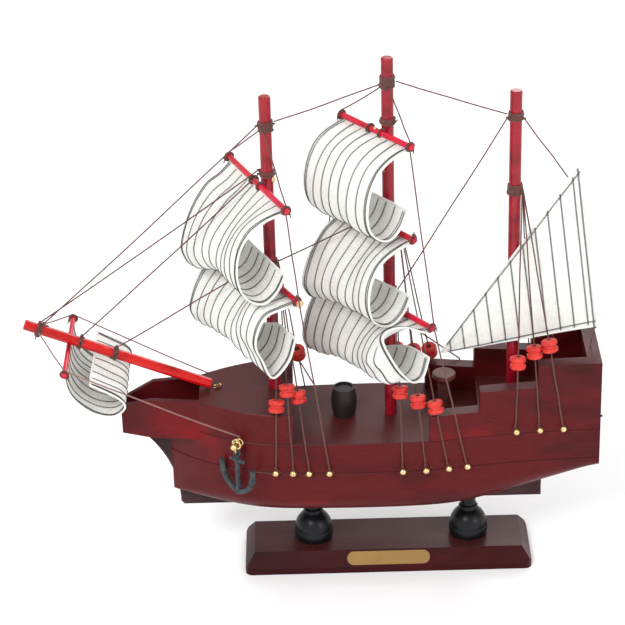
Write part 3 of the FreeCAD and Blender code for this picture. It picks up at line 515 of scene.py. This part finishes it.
def knot(build, centre, radius, axis=(0, 0, 1), seed=3):
    """A small overhand knot: a closed trefoil of thread pulled tight."""
    turn = UP.rotation_difference(Vector(axis).normalized())
    path = []
    steps = 40
    for i in range(steps + 1):
        t = 2 * math.pi * i / steps
        p = Vector((math.sin(t) + 2 * math.sin(2 * t), math.cos(t) - 2 * math.cos(2 * t),
                    -math.sin(3 * t)))
        path.append(Vector(centre) + turn @ (p * (radius / 3)))
    build.tube(path, 0.9 * THREAD, 7, TWIST, 0.2)


def loose_end(build, start, heading, length, seed):
    """A cut end of thread that curls away."""
    source = random.Random(seed)
    heading = Vector(heading).normalized()
    bend = Vector([source.uniform(-1, 1) for _ in range(3)]) * 0.35
    path = [Vector(start)]
    for _ in range(9):
        heading = (heading + bend * 0.35 - UP * 0.06).normalized()
        path.append(path[-1] + heading * (length / 9))
    build.tube(path, 0.85 * THREAD, 7, TWIST, 0.22)


def winding(build, centre, axis, inner, height, seed=5):
    """Turns of thread round a spar, uneven, with one strand crossing over them."""
    source = random.Random(seed)
    axis = Vector(axis).normalized()
    side = axis.orthogonal().normalized()
    other = axis.cross(side)
    pitch = 1.9 * THREAD
    turns = max(2, int(height / pitch))
    per_turn = 22
    reach = inner + THREAD
    path = []
    for i in range(turns * per_turn + 1):
        t = i / per_turn
        angle = 2 * math.pi * t
        rise = -height / 2 + THREAD + (height - 2 * THREAD) * t / turns
        rise += 0.25 * THREAD * math.sin(1.7 * angle + seed)
        out = reach + 0.12 * THREAD * math.sin(0.61 * angle + 2 * seed)
        path.append(Vector(centre) + axis * rise
                    + (side * math.cos(angle) + other * math.sin(angle)) * out)
    build.tube(path, THREAD, 7, TWIST, 0.18)
    begin = source.uniform(0, 6.28)
    cross = []
    for i in range(31):
        t = i / 30
        angle = begin + 2 * math.pi * t
        rise = (height / 2 - THREAD) * math.cos(math.pi * t) * 0.9
        cross.append(Vector(centre) + axis * rise
                     + (side * math.cos(angle) + other * math.sin(angle)) * (reach + 1.15 * THREAD))
    build.tube(cross, THREAD, 7, TWIST, 0.18)
    edge = side * math.cos(begin) + other * math.sin(begin)
    knot(build, Vector(centre) + edge * (reach + 1.6 * THREAD), 2.3 * THREAD, edge, seed)
    return edge


def thread_piece(name, node, stuff, body, sag=0.0, knots=(), ends=True, pick=None):
    """One piece with the twisted threads of a CAD node, knotted where they are tied."""
    build = Build()
    for number, route in enumerate(routes(node)):
        if pick and not pick(route):
            continue
        yarn(build, route, sag=sag, seed=number + len(name))
        if "low" in knots:
            knot(build, route[-1], 2.4 * THREAD, (1, 0.3, 0.2), number)
            if ends:
                loose_end(build, route[-1], (0.6, -0.2 if route[-1].y < 0 else 0.2, -0.7),
                          2.6 * MM, number + 11)
        if "high" in knots:
            knot(build, route[0], 2.3 * THREAD, (0, 0.3, 1), number)
    return build.piece(name, stuff, body, "brown_thread", (node,))


def make_threads(dark, light):
    for mast in ("fore", "main", "mizzen"):
        thread_piece(f"{mast}_shroud_threads", f"{mast}_shrouds", dark, "ship", knots=("low",))
    thread_piece("fore_stay_threads", "fore_stays", dark, "ship", sag=0.004,
                 knots=("low", "high"))
    thread_piece("mast_stay_threads", "mast_stays", dark, "ship", sag=0.006)
    thread_piece("mizzen_sail_ties", "mizzen_sail_threads", dark, "ship", knots=("high",),
                 ends=False)
    thread_piece("fore_lift_threads", "fore_lifts", dark, "fore_yards", sag=0.01)
    thread_piece("main_lift_threads", "main_lifts", dark, "main_yards", sag=0.02)
    for mast in ("fore", "main"):
        piece = thread_piece(f"{mast}_brace_threads", f"{mast}_braces", dark, None,
                             knots=("low",))
        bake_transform(piece)
    yard_x = YARDS["sprit"].middle.x
    for side, sign in (("port", -1), ("starboard", 1)):
        for part, ahead in (("sprit_lift", True), ("sprit_brace", False)):
            def chosen(route, ahead=ahead, sign=sign):
                middle = sum(route, Vector()) / len(route)
                return (middle.x < yard_x) == ahead and middle.y * sign > 0
            piece = thread_piece(f"{part}_{side}", "sprit_lines", light, None, sag=0.006,
                                 pick=chosen)
            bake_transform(piece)


def make_lashings(dark):
    """Each CAD band becomes turns of thread with a knot."""
    skin = 0.05 * MM
    for node, body in (("mast_lashings", "ship"), ("bowsprit_lashings", "ship"),
                       ("fore_yard_lashings", "fore_yards"), ("main_yard_lashings", "main_yards"),
                       ("sprit_yard_lashings", "sprit_yard_set")):
        build = Build()
        for number, points in enumerate(islands(node)):
            centre = Vector((points.min(0) + points.max(0)) / 2)
            if node == "mast_lashings":
                axis, inner = UP, Spar("main_mast").radius
            elif node == "bowsprit_lashings":
                axis, inner = SPRIT.along, SPRIT.radius
            else:
                yard = min(YARDS.values(), key=lambda y: abs(y.middle.z - centre.z)
                           + abs(y.middle.x - centre.x))
                axis, inner = yard.along, yard.radius
            spread = (points - np.array(centre)) @ np.array(axis)
            height = 0.85 * float(spread.max() - spread.min())
            edge = winding(build, centre, axis, inner + skin, height, number + 2)
            loose_end(build, centre + edge * (inner + 3 * THREAD), edge + axis * 0.6,
                      1.7 * MM, number + 40)
        for name, yard in YARDS.items():
            if node == name.split("_")[0] + "_yard_lashings" and node != "sprit_yard_lashings":
                for side in (-1, 1):
                    winding(build, yard.at(side * 3.4 * MM), yard.along, yard.radius + skin,
                            1.5 * MM, 60 + side)
        build.piece(node.replace("lashings", "windings"), dark, body, "brown_thread", (node,))


# ---------------------------------------------------------------- sails
# Each profile is a sail's section square to its yard, from the yard to the foot, as shares of
# the sail's depth ahead of the yard and its drop below it.
CURL = [(0, 0), (.24, -.02), (.5, -.07), (.75, -.17), (.94, -.36), (1, -.6), (.92, -.82),
        (.7, -.96), (.45, -1), (.2, -.9), (.03, -.72)]
PRESSED = [(0, 0), (.2, -.12), (.45, -.27), (.68, -.43), (.83, -.6), (.85, -.78), (.7, -.93),
           (.48, -.98), (.22, -.9), (.06, -.72)]
BELLY = [(0, 0), (.22, -.1), (.48, -.18), (.73, -.35), (.9, -.54), (1, -.74), (.97, -.87),
         (.8, -1), (.5, -.93), (.25, -.8), (.06, -.62)]
LEAF = [(0, 0), (.36, -.02), (.72, -.07), (.93, -.25), (1, -.47), (.86, -.7), (.74, -.92),
        (.6, -1), (.4, -.94), (.18, -.78), (.04, -.5)]
RISING = [(0, 0), (.15, .03), (.5, .28), (.86, .38), (1, .28), (.97, .06), (.82, -.28),
          (.57, -.74), (.36, -1), (.16, -.98), (.02, -.6)]
ROLL = [(0, 0), (.03, -.34), (.17, -.65), (.48, -.93), (.8, -1), (1, -.8), (.93, -.6),
        (.7, -.42), (.42, -.24)]
CLOTH_HALF = 0.17 * MM
HEM_RADIUS = 0.42 * MM


def curve_through(points, count):
    """Evenly spaced points on a smooth curve through the given ones."""
    path = smooth_path([Vector((a, b, 0)) for a, b in points], 0.01)
    flat = np.array([(p.x, p.y) for p in path])
    run = np.concatenate([[0], np.cumsum(np.linalg.norm(np.diff(flat, axis=0), axis=1))])
    at = np.linspace(0, run[-1], count)
    return np.stack([np.interp(at, run, flat[:, i]) for i in (0, 1)], axis=1)


class Sail:
    """A curled sail's surface: at(u, v) with u from port to starboard, v from head to foot."""

    def __init__(self, name, ahead, stations, reach, seed):
        self.yard = YARDS[name]
        self.ahead, self.reach = Vector(ahead), reach
        self.rows = 61
        shares, shapes = [], []
        for share, profile, depth, drop in sorted(stations):
            shape = curve_through(profile, self.rows)
            shares.append(share)
            shapes.append(shape * np.array([depth, drop]) * MM)
        self.shares, self.shapes = np.array(shares), np.array(shapes)
        source = random.Random(seed)
        self.phases = [source.uniform(0, 6.28) for _ in range(6)]

    def profile(self, share):
        """The section at a share of the reach, eased between the stations."""
        i = int(np.clip(np.searchsorted(self.shares, share) - 1, 0, len(self.shares) - 2))
        t = (share - self.shares[i]) / (self.shares[i + 1] - self.shares[i])
        t = t * t * (3 - 2 * t)
        return self.shapes[i] * (1 - t) + self.shapes[i + 1] * t

    def at(self, u, v):
        """The cloth's middle at u (1 port to -1 starboard) and v (0 head to 1 foot)."""
        section = self.profile(u)
        row = v * (self.rows - 1)
        low = min(int(row), self.rows - 2)
        s, z = section[low] + (section[low + 1] - section[low]) * (row - low)
        a, b, c, d, e, f = self.phases
        loose = math.sin(math.pi * min(1.0, 1.6 * v)) if v < 0.3 else 1.0
        ripple = (0.45 * math.sin(5.1 * u + a) * math.sin(6.3 * v + b)
                  + 0.25 * math.sin(11 * u + c + 2 * v) * math.cos(9.5 * v + d)
                  + 0.12 * math.sin(23 * u + e) * math.sin(19 * v + f)) * MM * loose
        scallop = 0.35 * MM * math.cos(20 * math.pi * u) * math.exp(-14 * v)
        start = self.yard.at(u * self.reach) - UP * (self.yard.radius + CLOTH_HALF + 0.1 * MM)
        if v < 0.999:
            after = section[min(low + 1, self.rows - 1)] - section[low]
        else:
            after = section[-1] - section[-2]
        normal = np.array([after[1], -after[0]])
        normal /= max(1e-9, np.linalg.norm(normal))
        s += normal[0] * ripple
        z += normal[1] * ripple - scallop
        return start + self.ahead * float(s) + UP * float(z)

    def normal(self, u, v):
        step = 0.012
        across = self.at(min(1, u + step), v) - self.at(max(-1, u - step), v)
        down = self.at(u, min(1, v + step)) - self.at(u, max(0, v - step))
        return across.cross(down).normalized()

    def drop(self):
        """The cut length of the cloth, down its middle."""
        path = [self.at(0.0, v) for v in np.linspace(0, 1, 80)]
        return sum((b - a).length for a, b in zip(path, path[1:]))


def sheet_mesh(name, surface, across, down, material, span=(-1.0, 1.0)):
    """A thin closed sheet, from a surface of (u, v)."""
    us = np.linspace(span[0], span[1], across)
    vs = np.linspace(0, 1, down)
    points, faces = [], []
    for side in (1, -1):
        for u in us:
            for v in vs:
                points.append(surface.at(u, v) + surface.normal(u, v) * (side * CLOTH_HALF))
    layer = across * down
    for i in range(across - 1):
        for j in range(down - 1):
            a = i * down + j
            quad = (a, a + 1, a + down + 1, a + down)
            faces.append(tuple(reversed(quad)))
            faces.append(tuple(layer + k for k in quad))
    rim = [i * down for i in range(across)]
    rim += [(across - 1) * down + j for j in range(1, down)]
    rim += [i * down + down - 1 for i in range(across - 2, -1, -1)]
    rim += [j for j in range(down - 2, 0, -1)]
    for a, b in zip(rim, rim[1:] + rim[:1]):
        faces.append((a, b, layer + b, layer + a))
    return mesh_piece(name, points, faces, material)


def stitch_line(build, surface, track, side, pitch=0.72 * MM, swing=0.30 * MM, radius=0.20 * MM):
    """A zigzag seam along a track of (u, v) points, on one face of the cloth."""
    places = [surface.at(u, v) for u, v in track]
    run = np.concatenate([[0], np.cumsum([(b - a).length for a, b in zip(places, places[1:])])])
    count = max(4, int(run[-1] / (pitch / 2)))
    us = np.interp(np.linspace(0, run[-1], count), run, [t[0] for t in track])
    vs = np.interp(np.linspace(0, run[-1], count), run, [t[1] for t in track])
    middle = [surface.at(u, v) for u, v in zip(us, vs)]
    normal = [surface.normal(u, v) for u, v in zip(us, vs)]
    path = []
    for i, (point, out) in enumerate(zip(middle, normal)):
        ahead = (middle[min(i + 1, count - 1)] - middle[max(i - 1, 0)]).normalized()
        beside = ahead.cross(out)
        path.append(point + beside * (swing if i % 2 else -swing)
                    + out * (side * (CLOTH_HALF + 0.45 * radius)))
    build.tube(path, radius, 5)


def hem(build, surface, track, radius=HEM_RADIUS):
    """A rolled, slightly frayed edge along a track."""
    path = [surface.at(u, v) for u, v in track]
    build.tube(path, radius, 8)
    source = random.Random(len(track))
    for u, v in track[::2]:
        start = surface.at(u, v)
        away = Vector([source.uniform(-1, 1) for _ in range(3)]).normalized()
        path = [start, start + away * 0.6 * MM, start + (away - UP * 0.4) * 0.95 * MM]
        build.tube(path, 0.05 * MM, 4)


def make_sail(node, name, ahead, stations, lines, cloth_stuff, stitch_stuff, seed, margin):
    """A sail with its seams and hem, on its yard's body."""
    surface = Sail(name, ahead, stations, YARDS[name].half - margin, seed)
    sail = sheet_mesh(f"{node}_cloth", surface, 73, 81, cloth_stuff)
    body = BODY[node]
    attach(sail, body)
    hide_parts(node)
    down = np.linspace(0.012, 0.988, 90)
    seams, edges = Build(), Build()
    half = surface.reach
    inset = 1.9 * MM / half
    spots = np.linspace(-1 + inset, 1 - inset, lines)
    for number, u in enumerate(spots):
        wander = [(u + 0.008 * math.sin(5 * v + number), v) for v in down]
        for side in (1, -1):
            stitch_line(seams, surface, wander, side)
    for u in (-1 + 0.5 * inset + 0.006, 1 - 0.5 * inset - 0.006):
        for side in (1, -1):
            stitch_line(seams, surface, [(u, v) for v in down], side, swing=0.06 * MM)
    seams.piece(f"{node}_stitching", stitch_stuff, body, "sailcloth")
    loop = [(u, 0.0) for u in np.linspace(-1, 1, 60)] + [(1.0, v) for v in down]
    loop += [(u, 1.0) for u in np.linspace(1, -1, 60)] + [(-1.0, v) for v in down[::-1]]
    hem(edges, surface, loop + loop[:1])
    edge = edges.piece(f"{node}_hem", cloth_stuff, body, "sailcloth")
    surface.drop()
    return surface


SAIL_MARGIN = 2.2 * MM
# Each sail's yard, then its sections as (share of the reach, profile, depth, drop) in mm, and
# how many seams it has.
SQUARE_SAILS = {
    "fore_upper": ([(1, CURL, 21.2, 38.0), (0, PRESSED, 24.0, 38.0), (-1, BELLY, 24.0, 43.0)], 10),
    "fore_lower": ([(1, LEAF, 18.5, 31.0), (0.6, LEAF, 18.5, 31.0), (0, PRESSED, 20.0, 30.0),
                    (-1, BELLY, 18.2, 31.0)], 11),
    "main_upper": ([(1, CURL, 21.2, 36.4), (0, CURL, 22.0, 36.4), (-1, CURL, 21.2, 36.4)], 8),
    "main_middle": ([(1, CURL, 22.7, 33.6), (0, PRESSED, 24.0, 33.6), (-1, BELLY, 21.5, 35.0)], 9),
    "main_lower": ([(1, RISING, 25.0, 20.6), (0.7, LEAF, 23.0, 24.0), (0, PRESSED, 18.0, 27.0),
                    (-1, BELLY, 13.6, 31.0)], 12),
    "sprit": ([(1, ROLL, 23.5, 19.5), (0, ROLL, 23.5, 19.5), (-1, ROLL, 23.5, 19.5)], 9),
}


def ahead_of(name):
    """The level direction that a yard's sail is blown in."""
    if name == "sprit":
        return Vector((1, 0, 0))
    along = YARDS[name].along
    ahead = Vector((along.y, -along.x, 0)).normalized()
    return -ahead if ahead.x > 0 else ahead


def make_square_sails(cloth_stuff, stitch_stuff):
    for seed, (name, (stations, seams)) in enumerate(SQUARE_SAILS.items(), start=1):
        make_sail(f"{name}_sail", name, ahead_of(name), stations, seams, cloth_stuff,
                  stitch_stuff, seed, SAIL_MARGIN)


class Triangle:
    """The flat lateen sail: u from its low fore corner to the leech, v from head to foot."""

    def __init__(self, tack, peak, clew):
        self.tack, self.peak, self.clew = tack, peak, clew
        self.out = (peak - tack).cross(clew - tack).normalized()
        if self.out.y > 0:
            self.out = -self.out

    def at(self, u, v):
        t = (u + 1) / 2
        head = self.tack.lerp(self.peak, t)
        foot = self.tack.lerp(self.clew, t)
        point = head.lerp(foot, v)
        belly = 0.7 * MM * math.sin(math.pi * t) * math.sin(math.pi * v)
        ripple = 0.22 * MM * math.sin(13 * t + 4 * v) * math.sin(9 * v + 2 * t)
        return point + self.out * (belly + ripple)

    def normal(self, u, v):
        return self.out


def make_mizzen_sail(cloth_stuff, stitch_stuff):
    points = islands("mizzen_sail")[0]
    y = float(points[:, 1].mean())
    tack = Vector(points[points[:, 0].argmin()])
    peak = Vector(points[points[:, 2].argmax()])
    clew = Vector(points[points[:, 0].argmax()])
    for corner in (tack, peak, clew):
        corner.y = y
    surface = Triangle(tack, peak, clew)
    sail = sheet_mesh("mizzen_sail_cloth", surface, 50, 50, cloth_stuff, span=(-0.985, 1.0))
    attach(sail, "ship")
    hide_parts("mizzen_sail")
    seams, edges = Build(), Build()
    down = np.linspace(0.0, 1.0, 60)
    for number in range(11):
        u = -1 + 2 * (number + 0.8) / 11.4
        for side in (1, -1):
            stitch_line(seams, surface, [(u, v) for v in down[1:-1]], side)
    for side in (1, -1):
        for v in (0.035, 0.965):
            stitch_line(seams, surface, [(u, v if u > -0.5 else v)
                                         for u in np.linspace(-0.9, 0.99, 60)], side)
        stitch_line(seams, surface, [(0.965, v) for v in down], side)
    seams.piece("mizzen_sail_stitching", stitch_stuff, "ship", "sailcloth")
    loop = [(u, 0.0) for u in np.linspace(-0.98, 1, 70)] + [(1.0, v) for v in down]
    loop += [(u, 1.0) for u in np.linspace(1, -0.98, 70)]
    hem(edges, surface, loop + loop[:1], 0.3 * MM)
    edge = edges.piece("mizzen_sail_hem", cloth_stuff, "ship", "sailcloth")


# ---------------------------------------------------------------- small things
def make_glue(stuff):
    """Drops of dried glue on the knots."""
    fore = Build()
    end = YARDS["fore_lower"].at(YARDS["fore_lower"].half - 0.6 * MM)
    fore.blob(end + Vector((0.6, -0.4, -0.5)) * MM, 1.45 * MM, (1, 1, 1.1), 0.25, 2)
    fore.blob(YARDS["main_upper"].at(0.2 * MM) + Vector((-0.4, -0.6, 1.2)) * MM, 0.5 * MM, seed=4)
    fore.piece("fore_yard_glue", stuff, "fore_yards", "brown_thread")
    mast = Build()
    x = Spar("fore_mast").middle.x
    mast.blob(Vector((x + 2.6 * MM, -1.8 * MM, YARDS["fore_upper"].middle.z + 2.2 * MM)),
              0.75 * MM, (0.9, 0.8, 1.8), 0.3, 5)
    mast.piece("fore_mast_glue", stuff, "ship", "brown_thread")


def make_plate_rim(stuff):
    """The plate's pale pressed rim."""
    mesh = NODES["nameplate"].data
    face = max(mesh.polygons, key=lambda p: p.area * (p.normal.z > 0.1 and p.normal.y < -0.1))
    out = face.normal.normalized()
    level = max(v.co.dot(out) for v in mesh.vertices)
    points = [v.co.copy() for v in mesh.vertices if v.co.dot(out) > level - 0.02 * MM]
    middle = (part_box("nameplate")[0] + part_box("nameplate")[1]) / 2
    rise = out.cross(Vector((1, 0, 0)))
    points.sort(key=lambda p: math.atan2((p - middle).dot(rise), p.x - middle.x))
    inner = [p + (middle - p).normalized() * 0.25 * MM for p in points]
    build = Build()
    build.tube(inner + inner[:2], 0.22 * MM, 8)
    build.piece("nameplate_rim", stuff, "ship", "dark_plate")


def assign(material, *nodes):
    for node in nodes:
        NODES[node].data.materials.clear()
        NODES[node].data.materials.append(material)


def finish_nodes():
    """Materials for the CAD pieces that show as they are."""
    side, patch = (0.094, 0.0065, 0.0080), (0.190, 0.0050, 0.0080)
    # The third colour is the random haze and also the painted sheen on upward faces.
    haze_and_top_sheen, dark = (0.066, 0.0145, 0.0140), (0.038, 0.0050, 0.0062)
    hull = hull_wood("hull_varnish", side, patch, haze_and_top_sheen, dark)
    assign(hull, "lower_hull", "upper_hull", "forecastle_block", "beakhead_floor",
           "stern_bulwark_port", "stern_bulwark_starboard", "quarterdeck_block", "transom",
           "beakhead_rail_port", "beakhead_rail_starboard")
    # The third colour here is the random haze and also the painted sheen on the board's upward
    # faces.
    assign(hull_wood("base_varnish", (0.034, 0.0016, 0.0030), (0.070, 0.0030, 0.0040),
                     (0.058, 0.0150, 0.0140), (0.016, 0.0012, 0.0022)), "base_board")
    assign(keel_wood(), "keel_board")
    assign(metal("plate_brass", (0.25, 0.150, 0.055), (0.30, 0.185, 0.070), 0.34, 60), "nameplate")
    black = lacquer("black_lacquer", (0.0030, 0.0035, 0.0045), (0.009, 0.010, 0.012), 0.34)
    assign(black, "spindle_front", "spindle_rear")
    assign(lacquer("barrel_stain", (0.008, 0.006, 0.006), (0.03, 0.022, 0.022), 0.45),
           "deck_barrel")
    assign(lacquer("capstan_stain", (0.07, 0.022, 0.018), (0.16, 0.055, 0.042), 0.42), "capstan")
    bright, deep = (0.60, 0.010, 0.036), (0.34, 0.004, 0.013)
    assign(dowel_wood("mast_dye", (0, 0, 1), (0.30, 0.0060, 0.017), (0.16, 0.003, 0.008)),
           "fore_mast", "main_mast", "mizzen_mast")
    assign(dowel_wood("bowsprit_dye", SPRIT.along, (0.56, 0.006, 0.006), (0.34, 0.003, 0.003)),
           "bowsprit")
    for group in ("fore", "main", "sprit"):
        members = [name for name in YARDS if name.startswith(group)]
        for name in members:
            assign(dowel_wood(f"{name}_dye", YARDS[name].along, bright, deep), f"{name}_yard")
    assign(bead_paint(), "fore_deadeyes", "main_deadeyes", "mizzen_deadeyes")
    assign(metal("brass", (0.60, 0.40, 0.14), (0.95, 0.78, 0.42), 0.22), "brass_pins",
           "anchor_chains")
    assign(metal("copper_wire", (0.50, 0.22, 0.10), (0.92, 0.60, 0.36), 0.25), "bowsprit_wire")
    assign(lacquer("slate_coating", (0.018, 0.024, 0.027), (0.06, 0.072, 0.078), 0.55, 500),
           "anchor_port", "anchor_starboard", "transom_pins")


make_camera()
make_light()
make_floor()
finish_nodes()
brown = thread_stuff("brown_thread", (0.045, 0.012, 0.009), (0.17, 0.048, 0.034))
frayed = thread_stuff("frayed_thread", (0.12, 0.045, 0.040), (0.36, 0.18, 0.16))
make_threads(brown, frayed)
make_lashings(brown)
sailcloth = cloth()
stitches = thread_stuff("stitch_thread", (0.010, 0.014, 0.012), (0.040, 0.050, 0.045))
make_square_sails(sailcloth, stitches)
make_mizzen_sail(sailcloth, stitches)
make_glue(glue())
make_plate_rim(metal("pale_rim", (0.75, 0.68, 0.50), (0.92, 0.86, 0.70), 0.3))
